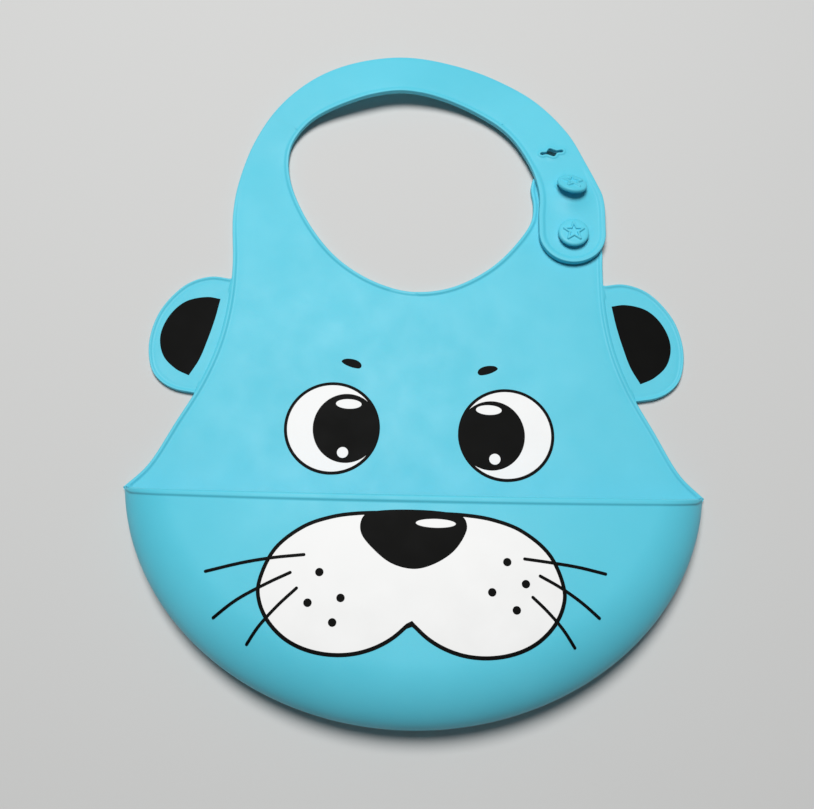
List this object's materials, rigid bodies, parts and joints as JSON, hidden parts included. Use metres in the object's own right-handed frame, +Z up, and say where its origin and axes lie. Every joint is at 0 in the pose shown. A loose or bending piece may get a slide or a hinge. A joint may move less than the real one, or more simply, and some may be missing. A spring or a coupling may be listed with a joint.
{
  "type": "baby bib",
  "caption": "Soft silicone baby bib with a rounded crumb-catching pocket, buttoned neck strap, ear flaps and a printed animal face, lying flat.",
  "frame": {"origin": "centre of the bounding box in plan, on the surface the bib lies on", "axes": "+Y from the pocket towards the neck strap, +X to the side with the studs, +Z up out of the printed front"},
  "size_m": [0.2276, 0.2862, 0.0264],
  "materials": {
    "silicone": "matte moulded food-grade silicone, light blue",
    "black_ink": "satin silk-screened silicone ink, black",
    "white_ink": "satin silk-screened silicone ink, white"
  },
  "bodies": {
    "pocket_body": {"back_panel": "silicone", "catch_pocket": "silicone", "lip_bead": "silicone", "muzzle_white": "white_ink", "muzzle_outline": "black_ink", "nose": "black_ink", "nose_glint": "white_ink", "left_whiskers": "black_ink", "right_whiskers": "black_ink", "left_muzzle_dots": "black_ink", "right_muzzle_dots": "black_ink"},
    "chest": {"chest_panel": "silicone", "stud_tab": "silicone", "neck_bead": "silicone", "left_edge_bead": "silicone", "right_edge_bead": "silicone", "lower_stud": "silicone", "upper_stud": "silicone", "left_eye_white": "white_ink", "left_eye_outline": "black_ink", "left_pupil": "black_ink", "left_eye_glints": "white_ink", "left_brow": "black_ink", "right_eye_white": "white_ink", "right_eye_outline": "black_ink", "right_pupil": "black_ink", "right_eye_glints": "white_ink", "right_brow": "black_ink"},
    "left_ear": {"left_ear_flap": "silicone", "left_ear_rim": "silicone", "left_ear_patch": "black_ink"},
    "right_ear": {"right_ear_flap": "silicone", "right_ear_rim": "silicone", "right_ear_patch": "black_ink"},
    "strap_arch": {"strap_arch": "silicone"},
    "strap_end": {"strap_end": "silicone", "strap_end_rim": "silicone"}
  },
  "joints": [
    {"name": "chest_fold", "type": "hinge", "parent": "pocket_body", "child": "chest", "pos_m": [0, -0.0548, 0.0031], "axis": [1, 0, 0], "range_deg": [0, 88], "stiffness_Nm_per_rad": 0.004},
    {"name": "strap_lift", "type": "hinge", "parent": "chest", "child": "strap_arch", "pos_m": [-0.0035, 0.0782, 0.0031], "axis": [0.866, -0.5, 0], "range_deg": [0, 75], "stiffness_Nm_per_rad": 0.004, "deforming": ["lower_stud", "upper_stud"]},
    {"name": "strap_end_lift", "type": "hinge", "parent": "strap_arch", "child": "strap_end", "pos_m": [-0.0035, 0.0782, 0.0057], "axis": [-0.766, -0.6428, 0], "range_deg": [0, 60], "stiffness_Nm_per_rad": 0.003, "deforming": ["lower_stud", "upper_stud"]},
    {"name": "left_ear_fold", "type": "hinge", "parent": "chest", "child": "left_ear", "pos_m": [-0.0846, 0.01025, 0.0031], "axis": [0.2254, 0.9743, 0], "range_deg": [0, 80], "stiffness_Nm_per_rad": 0.0015},
    {"name": "right_ear_fold", "type": "hinge", "parent": "chest", "child": "right_ear", "pos_m": [0.0846, 0.01025, 0.0031], "axis": [0.2254, -0.9743, 0], "range_deg": [0, 80], "stiffness_Nm_per_rad": 0.0015}
  ]
}
